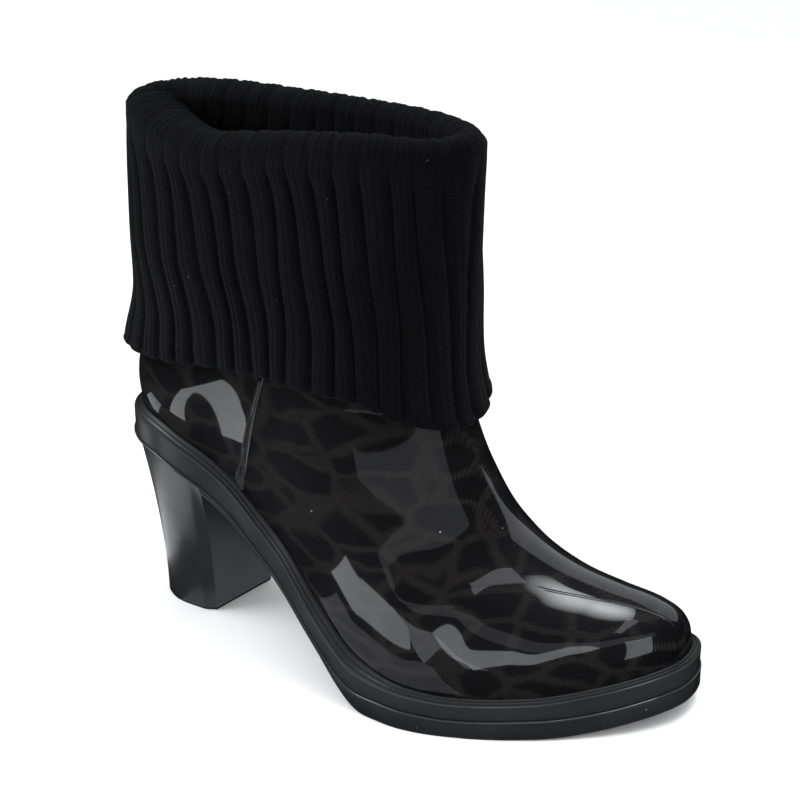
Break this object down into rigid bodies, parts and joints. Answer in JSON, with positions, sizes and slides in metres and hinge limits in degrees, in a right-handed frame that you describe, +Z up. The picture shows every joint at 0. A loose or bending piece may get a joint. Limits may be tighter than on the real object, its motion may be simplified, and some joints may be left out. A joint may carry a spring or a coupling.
{
  "type": "ankle boot",
  "caption": "Right rain ankle boot with a block heel, a glossy moulded upper and a turned-down ribbed knit cuff.",
  "frame": {"origin": "on the floor under the middle of the boot's bounding box", "axes": "+X from heel to toe, +Y to the wearer's left (the inner side of this right boot), +Z up"},
  "size_m": [0.2528, 0.1004, 0.2213],
  "materials": {
    "upper_pvc": "clear glossy PVC over a dark brown-grey crackle print",
    "cuff_knit": "black ribbed knit, matt",
    "sole_rubber": "black satin moulded rubber, slightly green-grey in the light",
    "insole_fabric": "black textile lining, matt"
  },
  "bodies": {
    "root": {"upper": "upper_pvc", "cuff": "cuff_knit", "midsole": "sole_rubber", "outsole": "sole_rubber", "heel": "sole_rubber", "insole": "insole_fabric"}
  },
  "joints": []
}
